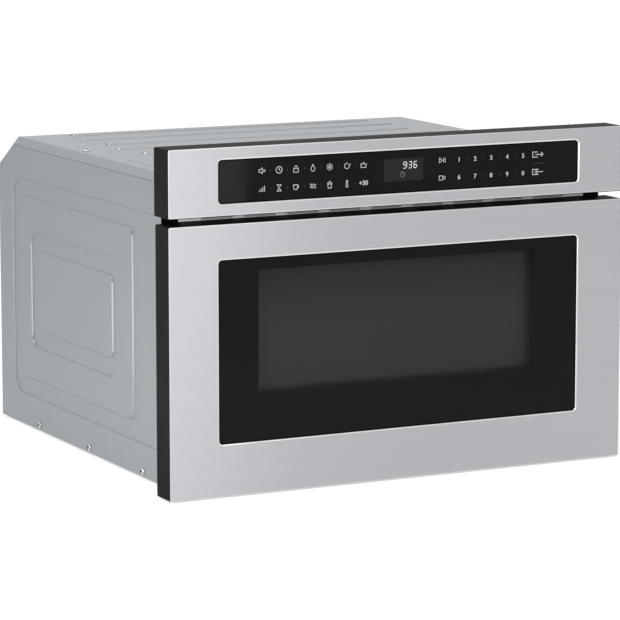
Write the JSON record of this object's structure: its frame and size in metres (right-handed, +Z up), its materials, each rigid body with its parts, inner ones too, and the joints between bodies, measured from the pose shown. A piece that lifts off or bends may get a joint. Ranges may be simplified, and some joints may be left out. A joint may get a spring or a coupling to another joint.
{
  "type": "microwave drawer",
  "caption": "Built-in microwave drawer: steel-fronted door with dark window that slides out with its pan, under a slim control panel on a sheet-metal case.",
  "frame": {"origin": "middle of the footprint, on the surface that the case's feet stand on", "axes": "+Z up, -Y out of the front, +X to the right seen from the front"},
  "size_m": [0.6064, 0.5904, 0.41],
  "materials": {
    "front_steel": "fine horizontal brushing",
    "black_moulding": "satin black",
    "black_glass": "polished, printed black behind",
    "galvanised": "satin galvanised sheet",
    "black_paint": "satin black paint",
    "vent_steel": "plain bright steel",
    "cavity_paint": "light grey enamel",
    "slide_steel": "zinc plated",
    "ceramic": "glazed off-white",
    "gear_plastic": "natural acetal",
    "clear_glass": "clear",
    "screen_paint": "dark enamel, perforated field",
    "dark_plastic": "fine grain",
    "pale_plastic": "smooth",
    "board": "green laminate with components",
    "motor_metal": "plated can",
    "aluminium": "plain",
    "screw_steel": "zinc plated",
    "display": "liquid crystal module"
  },
  "bodies": {
    "case": {"base_plate": "galvanised", "side_panel_right": "galvanised", "side_panel_left": "galvanised", "top_cover": "galvanised", "back_panel": "galvanised", "front_frame": "black_paint", "vent_grille": "vent_steel", "case_screws": "screw_steel", "cord_gland": "dark_plastic", "cavity_shell": "cavity_paint", "control_fascia": "front_steel", "control_housing": "black_moulding", "touch_glass": "black_glass", "display_module": "display", "control_board": "board", "waveguide": "galvanised", "magnetron": "aluminium", "stirrer_motor": "motor_metal", "stirrer_cover": "pale_plastic", "fan_shroud": "dark_plastic", "fan_motor": "motor_metal", "exhaust_duct": "galvanised", "inverter_board": "board", "noise_filter": "board", "oven_lamp": "pale_plastic", "thermal_cutouts": "motor_metal", "switch_brackets": "galvanised", "interlock_switches": "dark_plastic", "rail_bracket_right": "galvanised", "rail_bracket_left": "galvanised", "rail_outer_right": "slide_steel", "rail_outer_left": "slide_steel", "shaft_supports": "galvanised", "shaft_bearings": "pale_plastic", "drive_motor": "motor_metal", "motor_bracket": "galvanised"},
    "drawer": {"drawer_pan": "cavity_paint", "ceramic_tray": "ceramic", "door_skin": "front_steel", "door_frame": "black_moulding", "door_glass": "black_glass", "door_inner_plate": "screen_paint", "inner_window": "clear_glass", "choke_cover": "dark_plastic", "door_hooks": "slide_steel", "door_screws": "screw_steel", "rail_inner_right": "slide_steel", "rail_inner_left": "slide_steel", "side_arm_right": "galvanised", "side_arm_left": "galvanised", "rack_right": "gear_plastic", "rack_left": "gear_plastic"},
    "middle_rail_right": {"rail_middle_right": "slide_steel"},
    "middle_rail_left": {"rail_middle_left": "slide_steel"},
    "cross_shaft": {"drive_shaft": "slide_steel", "rack_pinions": "gear_plastic", "drive_gear": "gear_plastic"},
    "motor_shaft": {"motor_pinion": "slide_steel"},
    "stirrer": {"stirrer_blade": "aluminium"},
    "fan": {"fan_blade": "dark_plastic"}
  },
  "joints": [
    {"name": "drawer_slide", "type": "slide", "parent": "case", "child": "drawer", "axis": [0, -1, 0], "range_m": [0, 0.38]},
    {"name": "middle_rail_right_slide", "type": "slide", "parent": "case", "child": "middle_rail_right", "axis": [0, -1, 0], "range_m": [0, 0.19]},
    {"name": "middle_rail_left_slide", "type": "slide", "parent": "case", "child": "middle_rail_left", "axis": [0, -1, 0], "range_m": [0, 0.19]},
    {"name": "cross_shaft_spin", "type": "hinge", "parent": "case", "child": "cross_shaft", "pos_m": [0, -0.21525, 0.026], "axis": [1, 0, 0], "range_deg": [0, 1613.8]},
    {"name": "motor_shaft_spin", "type": "hinge", "parent": "case", "child": "motor_shaft", "pos_m": [0.059, -0.19025, 0.026], "axis": [1, 0, 0], "range_deg": [-3428.1, 0]},
    {"name": "stirrer_spin", "type": "hinge", "parent": "case", "child": "stirrer", "pos_m": [0, -0.03525, 0.263], "axis": [0, 0, 1], "continuous": true},
    {"name": "fan_spin", "type": "hinge", "parent": "case", "child": "fan", "pos_m": [0.15, 0.27, 0.19], "axis": [0, 1, 0], "continuous": true}
  ],
  "couplings": [
    {"joint": "middle_rail_right_slide", "follows": "drawer_slide", "ratio": 0.5},
    {"joint": "middle_rail_left_slide", "follows": "drawer_slide", "ratio": 0.5},
    {"joint": "cross_shaft_spin", "follows": "drawer_slide", "rad_per_m": 74.074},
    {"joint": "motor_shaft_spin", "follows": "drawer_slide", "rad_per_m": -157.41}
  ]
}
